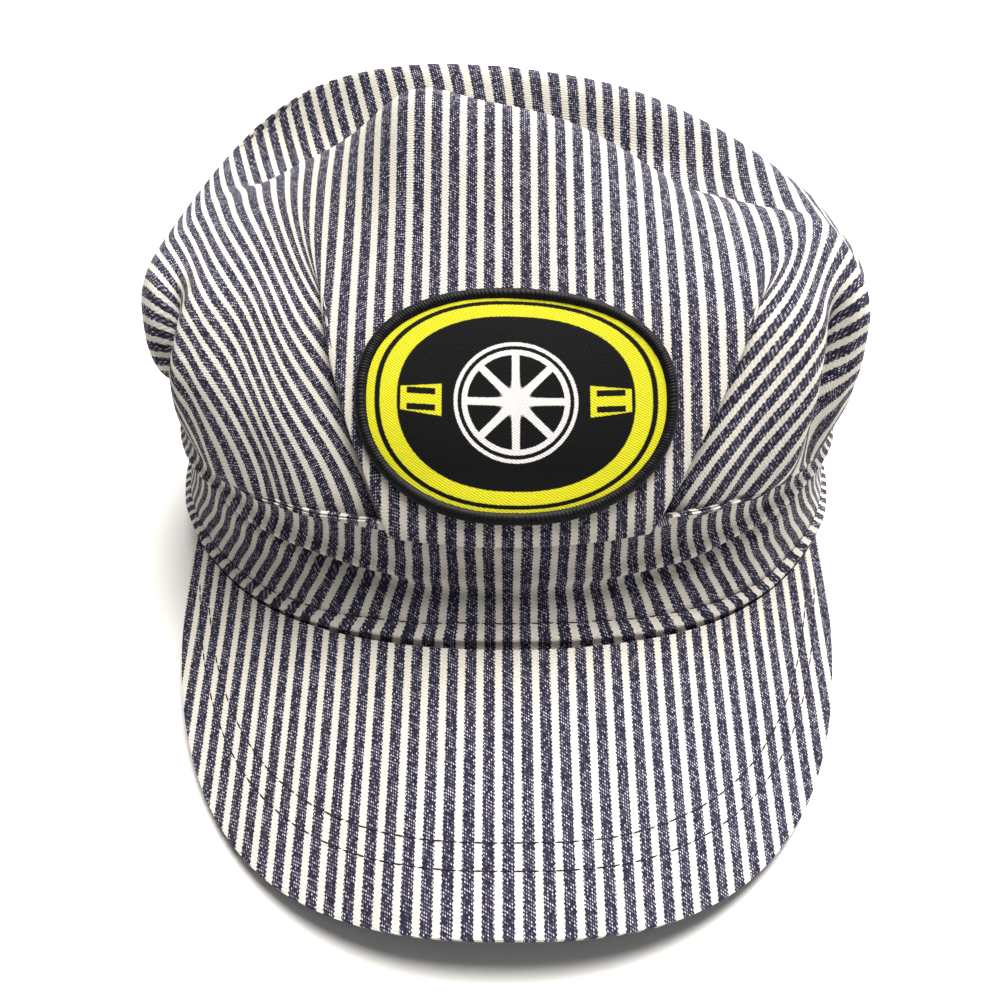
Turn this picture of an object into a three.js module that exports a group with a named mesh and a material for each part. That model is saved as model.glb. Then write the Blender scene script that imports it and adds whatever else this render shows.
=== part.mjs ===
import * as THREE from "three";

// Railroad engineer cap in soft striped denim, lying on a table as it rests by itself.
// Millimetres. Z is up, the front of the cap faces -Y and +X is at the right of someone looking at it.
// While it is built, Y is counted back from the visor's front edge and Z up from the table.

// Sizes of the cap.
const crownWidth = 202;
const crownLength = 176;
const capHeight = 129;
const panelFoot = 83;
const wall = 1.8;
const gap = 0.3;

// The crown stands a little askew: its top fold runs back at the left and sinks there.
const crestSkew = 17;
const crestLean = 6;

// The band: the outline of its foot, which stands on the table behind and is held up in front.
const bandWidth = 208;
const bandLength = 180;
const bandFoot = 70;
const bandWall = 2.2;

// The visor, a board arched from side to side.
const visorWidth = 187.5;
const visorReach = 114;
const visorFront = 1;
const visorSquare = 2.38;
const visorEnd = 64;
const visorFrontHeight = 11.9;
const visorSlope = 0.247;
const visorArch = 31.2;
const visorFlare = 7.9;
const visorThickness = 3;

// The patch on the front panel.
const patchWidth = 82;
const patchHeight = 62;
const patchRise = 36.5;
const patchShift = 2;
const patchThickness = 1.2;
const borderWidth = 3.6;
const borderHeight = 2.1;

// Level sections of the crown from its hem up to the middle of the hollow in its top.
// Ends and middle are shares of the crown's length behind the panel's foot, half of its half width.
const crownPlan = {
  hem: { front: 0.028, back: 0.930, middle: 0.420, half: 0.958, square: 2.15 },
  lip: { front: 0.000, back: 0.955, middle: 0.415, half: 0.975, square: 2.2 },
  puff: { front: 0.034, back: 0.985, middle: 0.405, half: 0.988, square: 2.25 },
  widest: { front: 0.114, back: 1.000, middle: 0.405, half: 1.000, square: 2.3 },
  shoulder: { front: 0.230, back: 0.994, middle: 0.425, half: 0.992, square: 2.25 },
  brow: { front: 0.364, back: 0.977, middle: 0.470, half: 0.955, square: 2.2 },
  fold: { front: 0.478, back: 0.966, middle: 0.530, half: 0.905, square: 2.15 },
  crest: { front: 0.563, back: 0.949, middle: 0.580, half: 0.860, square: 2.1 },
  roll: { front: 0.606, back: 0.920, middle: 0.622, half: 0.790, square: 2.05 },
  slope: { front: 0.648, back: 0.880, middle: 0.668, half: 0.670, square: 2.0 },
  dip: { front: 0.700, back: 0.835, middle: 0.720, half: 0.450, square: 2.0 },
  hollow: { front: 0.760, back: 0.770, middle: 0.765, half: 0.004, square: 2.0 },
};

// Heights of the same sections as shares of the cap's height, and how sharply the front rises.
const crownHeights = {
  hem: { front: 0.432, side: 0.365, back: 0.292, peak: 1.1, askew: 0.0 },
  lip: { front: 0.434, side: 0.392, back: 0.326, peak: 1.1, askew: 0.0 },
  puff: { front: 0.505, side: 0.480, back: 0.434, peak: 1.2, askew: 0.1 },
  widest: { front: 0.600, side: 0.590, back: 0.560, peak: 1.4, askew: 0.2 },
  shoulder: { front: 0.705, side: 0.672, back: 0.672, peak: 1.7, askew: 0.4 },
  brow: { front: 0.800, side: 0.712, back: 0.752, peak: 2.2, askew: 0.7 },
  fold: { front: 0.893, side: 0.728, back: 0.796, peak: 2.7, askew: 0.9 },
  crest: { front: 0.955, side: 0.728, back: 0.812, peak: 3.2, askew: 1.0 },
  roll: { front: 0.930, side: 0.706, back: 0.796, peak: 3.0, askew: 1.0 },
  slope: { front: 0.838, side: 0.676, back: 0.752, peak: 2.6, askew: 0.8 },
  dip: { front: 0.738, side: 0.662, back: 0.700, peak: 2.0, askew: 0.4 },
  hollow: { front: 0.662, side: 0.662, back: 0.662, peak: 1.0, askew: 0.0 },
};

// The two pleats that bound the front panel: degrees from the front at the hem and at the brow.
const pleats = {
  left: { side: -1, hem: 15, brow: 33, depth: 6.5 },
  right: { side: 1, hem: 18.5, brow: 47, depth: 7.0 },
};
const pleatTop = 5.4;
const pleatFade = 17;
const pleatStep = 1.6;

// Soft dents and swells: middle in degrees from the front at the hem and higher up, right positive.
// They run from one section number to another and push the cloth out by so many millimetres.
const folds = {
  leftCrease: { hem: -58, top: -64, spread: 5, from: 0.6, to: 5.2, push: -5.5 },
  rightCrease: { hem: 50, top: 63, spread: 5, from: 0.4, to: 5.6, push: -6.0 },
  leftPuff: { hem: -84, top: -88, spread: 15, from: 0.8, to: 6.0, push: 1.5 },
  rightPuff: { hem: 80, top: 86, spread: 16, from: 0.8, to: 7.0, push: -2.5 },
  rightRim: { hem: 115, top: 115, spread: 26, from: 3.5, to: 9.0, push: -4.0 },
  panelLip: { hem: 0, top: 0, spread: 15, from: 0.2, to: 2.4, push: 1.4 },
  backDent: { hem: 150, top: 150, spread: 12, from: 1.0, to: 5.0, push: -2.5 },
  backSwell: { hem: -150, top: -145, spread: 14, from: 1.5, to: 6.0, push: -2.0 },
};

// Where the top of the crown stands higher or lower than its plain shape, straight up.
const lifts = {
  peak: { hem: -16, top: -18, spread: 9, from: 5.0, to: 9.2, push: 9.5 },
  leftRim: { hem: -138, top: -138, spread: 32, from: 3.6, to: 10.4, push: 9.0 },
  rightFall: { hem: 36, top: 36, spread: 22, from: 4.2, to: 9.8, push: -10.0 },
};

// Sections of the band: rise from foot to top, lean from the foot's outline to the crown's hem.
const bandSections = {
  foot: { rise: 0.00, lean: 0.00, buckle: 0.0 },
  lower: { rise: 0.20, lean: 0.16, buckle: 0.5 },
  middle: { rise: 0.48, lean: 0.48, buckle: 1.0 },
  upper: { rise: 0.76, lean: 0.80, buckle: 0.4 },
  top: { rise: 1.00, lean: 1.00, buckle: 0.0 },
};
const bandMiddle = 0.52;
const bandSquare = 2.0;
const bandBuckle = 5;
const bandSettle = 150;

const rad = THREE.MathUtils.degToRad;
const clamp = THREE.MathUtils.clamp;

// A value between the rows of a table, on a smooth curve through them.
function along(rows, key, level) {
  const last = rows.length - 1;
  const i = clamp(Math.floor(level), 0, last - 1);
  const t = level - i;
  const b = rows[i][key];
  const c = rows[i + 1][key];
  const a = i > 0 ? rows[i - 1][key] : 2 * b - c;
  const d = i + 2 <= last ? rows[i + 2][key] : 2 * c - b;
  const bend = 2 * a - 5 * b + 4 * c - d + t * (3 * (b - c) + d - a);
  return b + 0.5 * t * (c - a + t * bend);
}

// Sine or cosine raised so that an ellipse becomes squarer, keeping its sign.
function squared(value, square) {
  return Math.sign(value) * Math.pow(Math.abs(value), 2 / square);
}

function bell(distance, spread) {
  return Math.exp(-(distance * distance) / (spread * spread));
}

const planRows = Object.values(crownPlan);
const heightRows = Object.values(crownHeights);
const bandRows = Object.values(bandSections);

// The crown without its folds. Turn is in degrees from the front, positive to the right.
function crownBase(turn, level) {
  const cos = Math.cos(rad(turn));
  const sin = Math.sin(rad(turn));
  const square = along(planRows, "square", level);
  const half = along(planRows, "half", level) * crownWidth / 2;
  const middle = along(planRows, "middle", level);
  const end = along(planRows, cos > 0 ? "front" : "back", level);
  const side = along(heightRows, "side", level);
  const rise = along(heightRows, cos > 0 ? "front" : "back", level) - side;
  const askew = along(heightRows, "askew", level) * squared(sin, square);
  const away = squared(Math.abs(cos), square);
  const x = half * squared(sin, square);
  const y = panelFoot + crownLength * (middle + (end - middle) * away) - crestSkew * askew;
  const steep = Math.pow(Math.abs(cos), along(heightRows, "peak", level));
  const z = capHeight * (side + rise * steep) + crestLean * askew + sumOfFolds(lifts, turn, level);
  return new THREE.Vector3(x, y, z);
}

function pleatTurn(pleat, level) {
  const share = Math.pow(clamp(level / (pleatTop - 0.4), 0, 1.2), 2.2);
  return pleat.side * (pleat.hem + (pleat.brow - pleat.hem) * share);
}

// What the folds of a table add up to at a place on the crown.
function sumOfFolds(table, turn, level) {
  let sum = 0;
  for (const fold of Object.values(table)) {
    const share = (level - fold.from) / (fold.to - fold.from);
    if (share > 0 && share < 1) {
      const middle = fold.hem + (fold.top - fold.hem) * share;
      const swell = Math.pow(Math.sin(Math.PI * share), 1.5);
      sum += fold.push * swell * bell(turn - middle, fold.spread);
    }
  }
  return sum;
}

// How far the cloth lies out of its plain shape: pleats tuck it in, folds push it either way.
function crownPush(turn, level) {
  let push = 0;
  for (const pleat of Object.values(pleats)) {
    const beyond = (turn - pleatTurn(pleat, level)) * pleat.side;
    if (beyond > 0 && level < pleatTop) {
      const ease = Math.min(1, 0.25 + 0.75 * level) * Math.pow(1 - level / pleatTop, 0.8);
      push -= pleat.depth * ease * Math.min(1, beyond / pleatStep) * Math.exp(-beyond / pleatFade);
    }
  }
  return push + sumOfFolds(folds, turn, level);
}

// Outward direction of a surface given by turn and level.
function outward(surface, turn, level, top) {
  const low = Math.max(level - 0.05, 0);
  const high = Math.min(level + 0.05, top);
  const across = surface(turn + 0.5, level).sub(surface(turn - 0.5, level));
  const up = surface(turn, high).sub(surface(turn, low));
  return across.cross(up).normalize();
}

const crownTop = planRows.length - 1;

function crownAt(turn, level, extra) {
  const out = outward(crownBase, turn, level, crownTop - 0.3);
  if (level < 0.25) {
    out.setZ(0).normalize();
  }
  return crownBase(turn, level).addScaledVector(out, extra);
}

// Columns around the crown: a few across the front panel, one on each pleat, the rest behind them.
const panelColumns = 7;
const sideColumns = 27;

function columnTurns(level) {
  const turns = [];
  for (const pleat of [pleats.right, pleats.left]) {
    const edge = Math.abs(pleatTurn(pleat, level));
    const half = [];
    for (let i = 0; i < panelColumns; i += 1) {
      half.push(edge * i / panelColumns);
    }
    half.push(edge);
    for (let i = 0; i < sideColumns; i += 1) {
      half.push(edge + pleatStep + (180 - edge - pleatStep) * i / sideColumns);
    }
    turns.push(half);
  }
  const right = turns[0];
  const left = turns[1].slice(1).reverse().map((turn) => -turn);
  return [...right, 180, ...left];
}

// One closed body from an outer and an inner grid of points, rows of equal length, closed around.
// A grid that ends in a point above has that point as its last row.
function shellGeometry(outer, inner) {
  const points = [];
  const faces = [];
  const keep = (grid) => grid.map((row) => row.map((p) => points.push(p) - 1));
  const skin = (rows, flip) => {
    for (let j = 0; j + 1 < rows.length; j += 1) {
      const low = rows[j];
      const high = rows[j + 1];
      for (let i = 0; i < low.length; i += 1) {
        const k = (i + 1) % low.length;
        const quad = high.length === 1
          ? [[low[i], low[k], high[0]]]
          : [[low[i], low[k], high[k]], [low[i], high[k], high[i]]];
        quad.forEach((f) => faces.push(flip ? [f[0], f[2], f[1]] : f));
      }
    }
  };
  const outside = keep(outer);
  const inside = keep(inner);
  skin(outside, false);
  skin(inside, true);
  skin([inside[0], outside[0]], false);
  if (outside[outside.length - 1].length > 1) {
    skin([outside[outside.length - 1], inside[inside.length - 1]], false);
  }
  const geometry = new THREE.BufferGeometry();
  geometry.setAttribute("position", new THREE.Float32BufferAttribute(points.flatMap((p) => p.toArray()), 3));
  geometry.setIndex(faces.flat());
  return geometry;
}

// Crown: the outer cloth with its folds, and an inner face that keeps a cloth's thickness inside
// the deepest neighbouring fold.
function crownGeometry() {
  const levels = [];
  for (let i = 0; i < 2 * crownTop; i += 1) {
    levels.push(i / 2);
  }
  const turns = levels.map(columnTurns);
  const pushes = levels.map((level, j) => turns[j].map((turn) => crownPush(turn, level)));
  const outer = levels.map((level, j) => turns[j].map((turn, i) => crownAt(turn, level, pushes[j][i])));
  const inner = levels.map((level, j) => turns[j].map((turn, i) => {
    const count = turns[j].length;
    const near = [i - 1, i, i + 1].map((k) => (k + count) % count);
    const rows = [j - 1, j, j + 1].filter((k) => k >= 0 && k < levels.length);
    const deepest = Math.min(...rows.flatMap((k) => near.map((m) => pushes[k][m])));
    return crownAt(turn, level, deepest - wall);
  }));
  const centre = crownBase(0, crownTop);
  outer.push([centre.clone()]);
  inner.push([centre.clone().add(new THREE.Vector3(0, 0, -wall))]);
  return shellGeometry(outer, inner);
}

// Height of the visor's upper face: a board sloping down to the front and arched across.
function visorHeight(x, y) {
  const share = x / 90;
  const arch = visorArch * share * share - visorFlare * Math.pow(share, 4);
  return visorFrontHeight + visorSlope * y - arch;
}

// The band's foot: on the visor's seam in front, then sinking to lie on the table behind.
function footPoint(turn) {
  const cos = Math.cos(rad(turn));
  const end = cos > 0 ? 0 : 1;
  const away = squared(Math.abs(cos), bandSquare);
  const x = bandWidth / 2 * squared(Math.sin(rad(turn)), bandSquare);
  const y = bandFoot + bandLength * (bandMiddle + (end - bandMiddle) * away);
  const beyond = Math.abs(turn > 180 ? turn - 360 : turn) - visorEnd;
  if (beyond <= 0) {
    return new THREE.Vector3(x, y, visorHeight(x, y) - visorThickness);
  }
  const sunk = Math.pow(Math.max(0, 1 - beyond / (bandSettle - visorEnd)), 1.7);
  return new THREE.Vector3(x, y, footPoint(visorEnd).z * sunk);
}

function bandBase(turn, level) {
  const foot = footPoint(turn);
  const top = crownBase(turn, 0);
  const lean = along(bandRows, "lean", level);
  const rise = along(bandRows, "rise", level);
  const point = foot.clone().lerp(top, lean);
  return point.setZ(foot.z + (top.z - gap - foot.z) * rise);
}

function bandGeometry() {
  const levels = [0, 0.5, 1, 1.5, 2, 2.5, 3, 3.5, 4];
  const columns = 64;
  const ring = (level, depth) => {
    const points = [];
    for (let i = 0; i < columns; i += 1) {
      const turn = 360 * i / columns;
      const cos = Math.cos(rad(turn));
      const front = Math.pow(Math.max(0, (cos + 0.45) / 1.45), 1.5);
      const buckle = bandBuckle * front * along(bandRows, "buckle", level);
      const point = bandBase(turn, level);
      const out = outward(bandBase, turn, level, 4).setZ(0).normalize();
      points.push(point.addScaledVector(out, -buckle - depth));
    }
    return points;
  };
  return shellGeometry(levels.map((level) => ring(level, 0)), levels.map((level) => ring(level, bandWall)));
}

const visorColumns = 44;

// A point of the visor: across from -1 to 1, reach from 0 at the seam to 1 at the outer edge.
function visorPoint(across, reach) {
  const seamTurn = visorEnd * across;
  const seam = bandBase(seamTurn, 0);
  const out = outward(bandBase, seamTurn, 0, 4).setZ(0).normalize();
  seam.addScaledVector(out, gap);
  const edgeTurn = rad(90 * across);
  const edgeX = visorWidth / 2 * squared(Math.sin(edgeTurn), visorSquare);
  const edgeY = visorFront + visorReach * (1 - squared(Math.cos(edgeTurn), visorSquare));
  const x = seam.x + (edgeX - seam.x) * reach;
  const y = seam.y + (edgeY - seam.y) * reach;
  return new THREE.Vector3(x, y, visorHeight(x, y));
}

function visorGeometry() {
  const reaches = [0, 0.12, 0.3, 0.5, 0.7, 0.88, 1];
  const loops = (drop) => reaches.map((reach) => {
    const row = [];
    for (let i = 0; i <= visorColumns; i += 1) {
      row.push(visorPoint(2 * i / visorColumns - 1, reach).add(new THREE.Vector3(0, 0, -drop)));
    }
    return row;
  });
  const upper = loops(0);
  const lower = loops(visorThickness);
  const points = [];
  const faces = [];
  const keep = (grid) => grid.map((row) => row.map((p) => points.push(p) - 1));
  const top = keep(upper);
  const bottom = keep(lower);
  const strip = (a, b) => {
    for (let i = 0; i + 1 < a.length; i += 1) {
      faces.push([a[i], b[i], b[i + 1]]);
      faces.push([a[i], b[i + 1], a[i + 1]]);
    }
  };
  for (let j = 0; j + 1 < top.length; j += 1) {
    strip(top[j], top[j + 1]);
    strip(bottom[j + 1], bottom[j]);
  }
  const last = top.length - 1;
  strip(top[last], bottom[last]);
  strip(bottom[0], top[0]);
  strip(top.map((row) => row[0]), bottom.map((row) => row[0]));
  strip(bottom.map((row) => row[visorColumns]), top.map((row) => row[visorColumns]));
  const geometry = new THREE.BufferGeometry();
  geometry.setAttribute("position", new THREE.Float32BufferAttribute(points.flatMap((p) => p.toArray()), 3));
  geometry.setIndex(faces.flat());
  return geometry;
}

// A point of the front panel, so far to the right and so far up the cloth from the panel's foot.
function panelPoint(right, up, lift) {
  let level = 1;
  let climbed = 0;
  let previous = crownAt(0, level, crownPush(0, level));
  while (climbed < up) {
    level += 0.02;
    const next = crownAt(0, level, crownPush(0, level));
    climbed += next.distanceTo(previous);
    previous = next;
  }
  let low = -60;
  let high = 60;
  for (let i = 0; i < 30; i += 1) {
    const turn = (low + high) / 2;
    if (crownBase(turn, level).x < right) {
      low = turn;
    } else {
      high = turn;
    }
  }
  return crownAt(low, level, crownPush(low, level) + lift);
}

// A point of the patch, as a share of its half sizes around its middle.
function patchPoint(share, turn, lift) {
  const across = share.half * squared(Math.sin(rad(turn)), 2.3);
  const up = share.tall * squared(Math.cos(rad(turn)), 2.3);
  return panelPoint(patchShift + across, patchRise + up, lift);
}

const patchColumns = 44;
const patchGap = 0.6;

function patchRing(inset, lift) {
  const share = { half: patchWidth / 2 - inset, tall: patchHeight / 2 - inset };
  const points = [];
  for (let i = 0; i < patchColumns; i += 1) {
    points.push(patchPoint(share, -360 * i / patchColumns, lift));
  }
  return points;
}

function patchGeometry() {
  const edge = borderWidth + gap;
  const rows = [edge, edge + 9, edge + 17];
  const middle = (lift) => [panelPoint(patchShift, patchRise, lift)];
  const front = rows.map((inset) => patchRing(inset, patchGap + patchThickness));
  const rear = rows.map((inset) => patchRing(inset, patchGap));
  front.push(middle(patchGap + patchThickness));
  rear.push(middle(patchGap));
  return shellGeometry(front, rear);
}

// Border: a rounded cord of thread around the patch.
function borderGeometry() {
  const rise = [0, 0.6, 1];
  const slant = [0, 0, 0.28];
  const ring = (inset, lift) => patchRing(inset * borderWidth, patchGap + lift * borderHeight);
  const outer = rise.map((lift, i) => ring(slant[i], lift));
  const inner = rise.map((lift, i) => ring(1 - slant[i], lift));
  return shellGeometry(outer, inner);
}

function piece(name, geometry, color, roughness) {
  const material = new THREE.MeshStandardMaterial({ color, roughness, metalness: 0 });
  material.name = name;
  const mesh = new THREE.Mesh(geometry, material);
  mesh.name = name;
  return mesh;
}

const group = new THREE.Group();
group.name = "railroad_engineer_cap";
group.add(piece("crown", crownGeometry(), "#757683", 0.9));
group.add(piece("band", bandGeometry(), "#757683", 0.9));
group.add(piece("visor", visorGeometry(), "#757683", 0.9));
group.add(piece("patch", patchGeometry(), "#e6df3c", 0.7));
group.add(piece("patch_border", borderGeometry(), "#17161b", 0.85));

// The cap is moved so that the middle of its footprint is at the origin.
const box = new THREE.Box3().setFromObject(group);
const shift = new THREE.Vector3(-(box.min.x + box.max.x) / 2, -(box.min.y + box.max.y) / 2, 0);
group.children.forEach((mesh) => mesh.geometry.translate(shift.x, shift.y, shift.z));

export default group;
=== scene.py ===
import math
import random

import bmesh
import bpy
import numpy as np
from mathutils import Matrix, Vector, noise


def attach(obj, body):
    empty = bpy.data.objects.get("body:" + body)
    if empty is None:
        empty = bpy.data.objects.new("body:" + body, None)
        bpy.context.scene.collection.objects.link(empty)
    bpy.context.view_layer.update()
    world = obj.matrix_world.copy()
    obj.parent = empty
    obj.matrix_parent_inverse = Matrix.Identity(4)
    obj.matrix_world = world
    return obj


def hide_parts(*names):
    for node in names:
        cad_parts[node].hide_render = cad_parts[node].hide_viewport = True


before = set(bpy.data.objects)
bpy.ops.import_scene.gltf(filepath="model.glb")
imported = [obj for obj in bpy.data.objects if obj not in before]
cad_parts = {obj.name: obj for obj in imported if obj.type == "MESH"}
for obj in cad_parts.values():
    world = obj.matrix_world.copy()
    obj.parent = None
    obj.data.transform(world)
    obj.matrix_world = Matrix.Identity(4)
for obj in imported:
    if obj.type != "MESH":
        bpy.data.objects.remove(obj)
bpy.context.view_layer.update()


# Crown: the shape of its cloth
# One large soft round of hickory-stripe denim. Two deep pleats bound the panel at the front, the
# sides puff out over the band, and the top folds forward over a hollow.
# Sizes are millimetres, counted back from the visor's front edge and up from the table.
crown_width = 202
crown_length = 176
cap_height = 129
panel_foot = 83
crest_skew = 17
crest_lean = 6
seam_gap = 0.3
footprint_middle = 130.0
cloth_wall = 0.9

# Ends of each level section and its middle as shares of the length, half width, squareness.
crown_plan = np.array([
    (0.028, 0.930, 0.420, 0.958, 2.15),
    (0.000, 0.955, 0.415, 0.975, 2.20),
    (0.034, 0.985, 0.405, 0.988, 2.25),
    (0.114, 1.000, 0.405, 1.000, 2.30),
    (0.230, 0.994, 0.425, 0.992, 2.25),
    (0.364, 0.977, 0.470, 0.955, 2.20),
    (0.478, 0.966, 0.530, 0.905, 2.15),
    (0.563, 0.949, 0.580, 0.860, 2.10),
    (0.606, 0.920, 0.622, 0.790, 2.05),
    (0.648, 0.880, 0.668, 0.670, 2.00),
    (0.700, 0.835, 0.720, 0.450, 2.00),
    (0.760, 0.770, 0.765, 0.004, 2.00),
])

# Heights of the same sections in front, at the sides and behind, how sharply the front rises,
# and how far the section follows the askew crest.
crown_heights = np.array([
    (0.432, 0.365, 0.292, 1.1, 0.0),
    (0.434, 0.392, 0.326, 1.1, 0.0),
    (0.505, 0.480, 0.434, 1.2, 0.1),
    (0.600, 0.590, 0.560, 1.4, 0.2),
    (0.705, 0.672, 0.672, 1.7, 0.4),
    (0.800, 0.712, 0.752, 2.2, 0.7),
    (0.893, 0.728, 0.796, 2.7, 0.9),
    (0.955, 0.728, 0.812, 3.2, 1.0),
    (0.930, 0.706, 0.796, 3.0, 1.0),
    (0.838, 0.676, 0.752, 2.6, 0.8),
    (0.738, 0.662, 0.700, 2.0, 0.4),
    (0.662, 0.662, 0.662, 1.0, 0.0),
])
crown_top = len(crown_plan) - 1

# Pleats: side, degrees from the front at the hem and at the brow, and depth. Both run out at the
# same level, keep part of their depth at the hem, and fade over the cloth beside them.
left_pleat = (-1, 15, 33, 6.5)
right_pleat = (1, 18.5, 47, 7.0)
pleat_top = 5.4
pleat_brow = 5.0
pleat_at_hem = 0.25
pleat_fade = 17
# Up to this level the cloth is pushed level outwards, so that the hem keeps its height.
hem_upright = 0.25

# Folds: middle in degrees at the hem and higher up, spread, first and last section, push outwards.
crown_folds = [
    (-76, -61, 5, 0.6, 5.2, -5.5),
    (50, 65, 5, 0.4, 5.6, -6.0),
    (-84, -88, 15, 0.8, 6.0, 1.5),
    (80, 86, 16, 0.8, 7.0, -2.5),
    (115, 115, 26, 3.5, 9.0, -4.0),
    (0, 0, 15, 0.2, 2.4, 1.4),
    (150, 150, 12, 1.0, 5.0, -2.5),
    (-150, -145, 14, 1.5, 6.0, -2.0),
]
# The same for what stands higher or lower than the plain shape, straight up.
crown_lifts = [
    (-16, -18, 9, 5.0, 9.2, 9.5),
    (-138, -138, 32, 3.6, 10.4, 9.0),
    (36, 36, 22, 4.2, 9.8, -10.0),
]


def along(table, level):
    """The rows of a table at any level between them, on a smooth curve."""
    last = len(table) - 1
    i = np.clip(np.floor(level).astype(int), 0, last - 1)
    t = (level - i)[..., None]
    b, c = table[i], table[i + 1]
    a = np.where(i[..., None] > 0, table[np.maximum(i - 1, 0)], 2 * b - c)
    d = np.where(i[..., None] + 2 <= last, table[np.minimum(i + 2, last)], 2 * c - b)
    return b + 0.5 * t * (c - a + t * (2 * a - 5 * b + 4 * c - d + t * (3 * (b - c) + d - a)))


def squared(value, square):
    """A sine or cosine that makes an ellipse squarer."""
    return np.sign(value) * np.abs(value) ** (2 / square)


def sum_of_folds(folds, turn, level):
    total = np.zeros(np.broadcast(turn, level).shape)
    for hem, top, spread, first, last, push in folds:
        share = np.clip((level - first) / (last - first), 0, 1)
        middle = hem + (top - hem) * share
        total += push * np.sin(np.pi * share) ** 1.5 * np.exp(-((turn - middle) / spread) ** 2)
    return total


def crown_base(turn, level):
    """The crown without its folds. Turn is in degrees from the front, positive to the right."""
    turn, level = np.broadcast_arrays(np.asarray(turn, float), np.asarray(level, float))
    cos, sin = np.cos(np.radians(turn)), np.sin(np.radians(turn))
    front, back, middle, half, square = np.moveaxis(along(crown_plan, level), -1, 0)
    z_front, z_side, z_back, peak, askew = np.moveaxis(along(crown_heights, level), -1, 0)
    askew = askew * squared(sin, square)
    away = squared(np.abs(cos), square)
    end = np.where(cos > 0, front, back)
    rise = np.where(cos > 0, z_front, z_back) - z_side
    x = half * crown_width / 2 * squared(sin, square)
    y = panel_foot + crown_length * (middle + (end - middle) * away) - crest_skew * askew
    z = cap_height * (z_side + rise * np.abs(cos) ** peak) + crest_lean * askew
    return np.stack([x, y, z + sum_of_folds(crown_lifts, turn, level)], -1)


def outward(surface, turn, level, top):
    across = surface(turn + 0.5, level) - surface(turn - 0.5, level)
    low, high = np.clip(level - 0.05, 0, top - 0.05), np.clip(level + 0.05, 0.05, top)
    up = surface(turn, high) - surface(turn, low)
    out = np.cross(across, up)
    return out / np.linalg.norm(out, axis=-1, keepdims=True)


def crown_at(turn, level, push):
    """A point of the crown, pushed out of its plain shape by so many millimetres."""
    turn, level = np.broadcast_arrays(np.asarray(turn, float), np.asarray(level, float))
    out = outward(crown_base, turn, level, crown_top - 0.3)
    out[..., 2] = np.where(level < hem_upright, 0, out[..., 2])
    out /= np.linalg.norm(out, axis=-1, keepdims=True)
    return crown_base(turn, level) + out * push[..., None]


def pleat_edge(pleat, level):
    side, hem, brow, depth = pleat
    return hem + (brow - hem) * np.clip(level / pleat_brow, 0, 1.2) ** 2.2


def pleat_depth(pleat, level):
    by_hem = np.minimum(1, pleat_at_hem + (1 - pleat_at_hem) * level)
    return pleat[3] * by_hem * np.clip(1 - level / pleat_top, 0, 1) ** 0.8


def in_frame(points):
    """Millimetres from the visor's front edge to metres in the cap's frame."""
    return (np.asarray(points) - (0, footprint_middle, 0)) / 1000


def slack(points, size, amount, seed):
    """Soft random swells of the cloth, one number for each point."""
    flat = points.reshape(-1, 3)
    out = [noise.noise(Vector(p) / size + Vector((seed, 3.1 * seed, 0))) for p in flat]
    return amount * np.array(out).reshape(points.shape[:-1])


# Crown: its cloth laid flat
# The stripes follow the cloth as it was cut, flat. They run from front to back over the top. Below
# the brow the cloth hangs straight out from the top's edge, and the pleats hide what is too much.
flat_levels = 221
flat_turn = 2.0
brow_from = 7.0
brow_to = 5.0
brow_lower_behind = 3.4
behind_from = 95
behind_fade = 25
hem_straight_to = 0.9
hem_straight_fade = 3.0
beside_pleat = 9
beside_fade = 14

# The way in which the flat cloth runs on below the brow, in degrees, for each turn: near the brow,
# and near the hem, where the pleats have pulled it straight. Across the crease between cheek and
# puff it changes sharply, because the rest of the cloth is folded in there.
hang_left = np.array([
    (0, 20, 4), (14, 50, 0), (33, 53, 0), (52, 55, 2), (60, 60, 10), (70, 84, 42), (80, 91, 70),
    (92, 95, 88), (108, 104, 100), (128, 122, 120), (152, 152, 152), (180, 180, 180),
])
hang_right = np.array([
    (0, 20, 6), (18, 52, 12), (40, 58, 18), (54, 61, 24), (65, 82, 50), (74, 90, 72),
    (92, 95, 88), (108, 104, 100), (128, 122, 120), (152, 152, 152), (180, 180, 180),
])
# The ridge of the fold across the top, how far the cloth behind it is turned, and where it isn't.
ridge_y = 192
ridge_lean = 0.36
ridge_right_end = 45
ridge_fade = 110


def panel_turn(share, level):
    edge = np.where(share < 0, pleat_edge(left_pleat, level), pleat_edge(right_pleat, level))
    return share * edge


def smooth(value):
    value = np.clip(value, 0, 1)
    return value * value * (3 - 2 * value)


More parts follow.
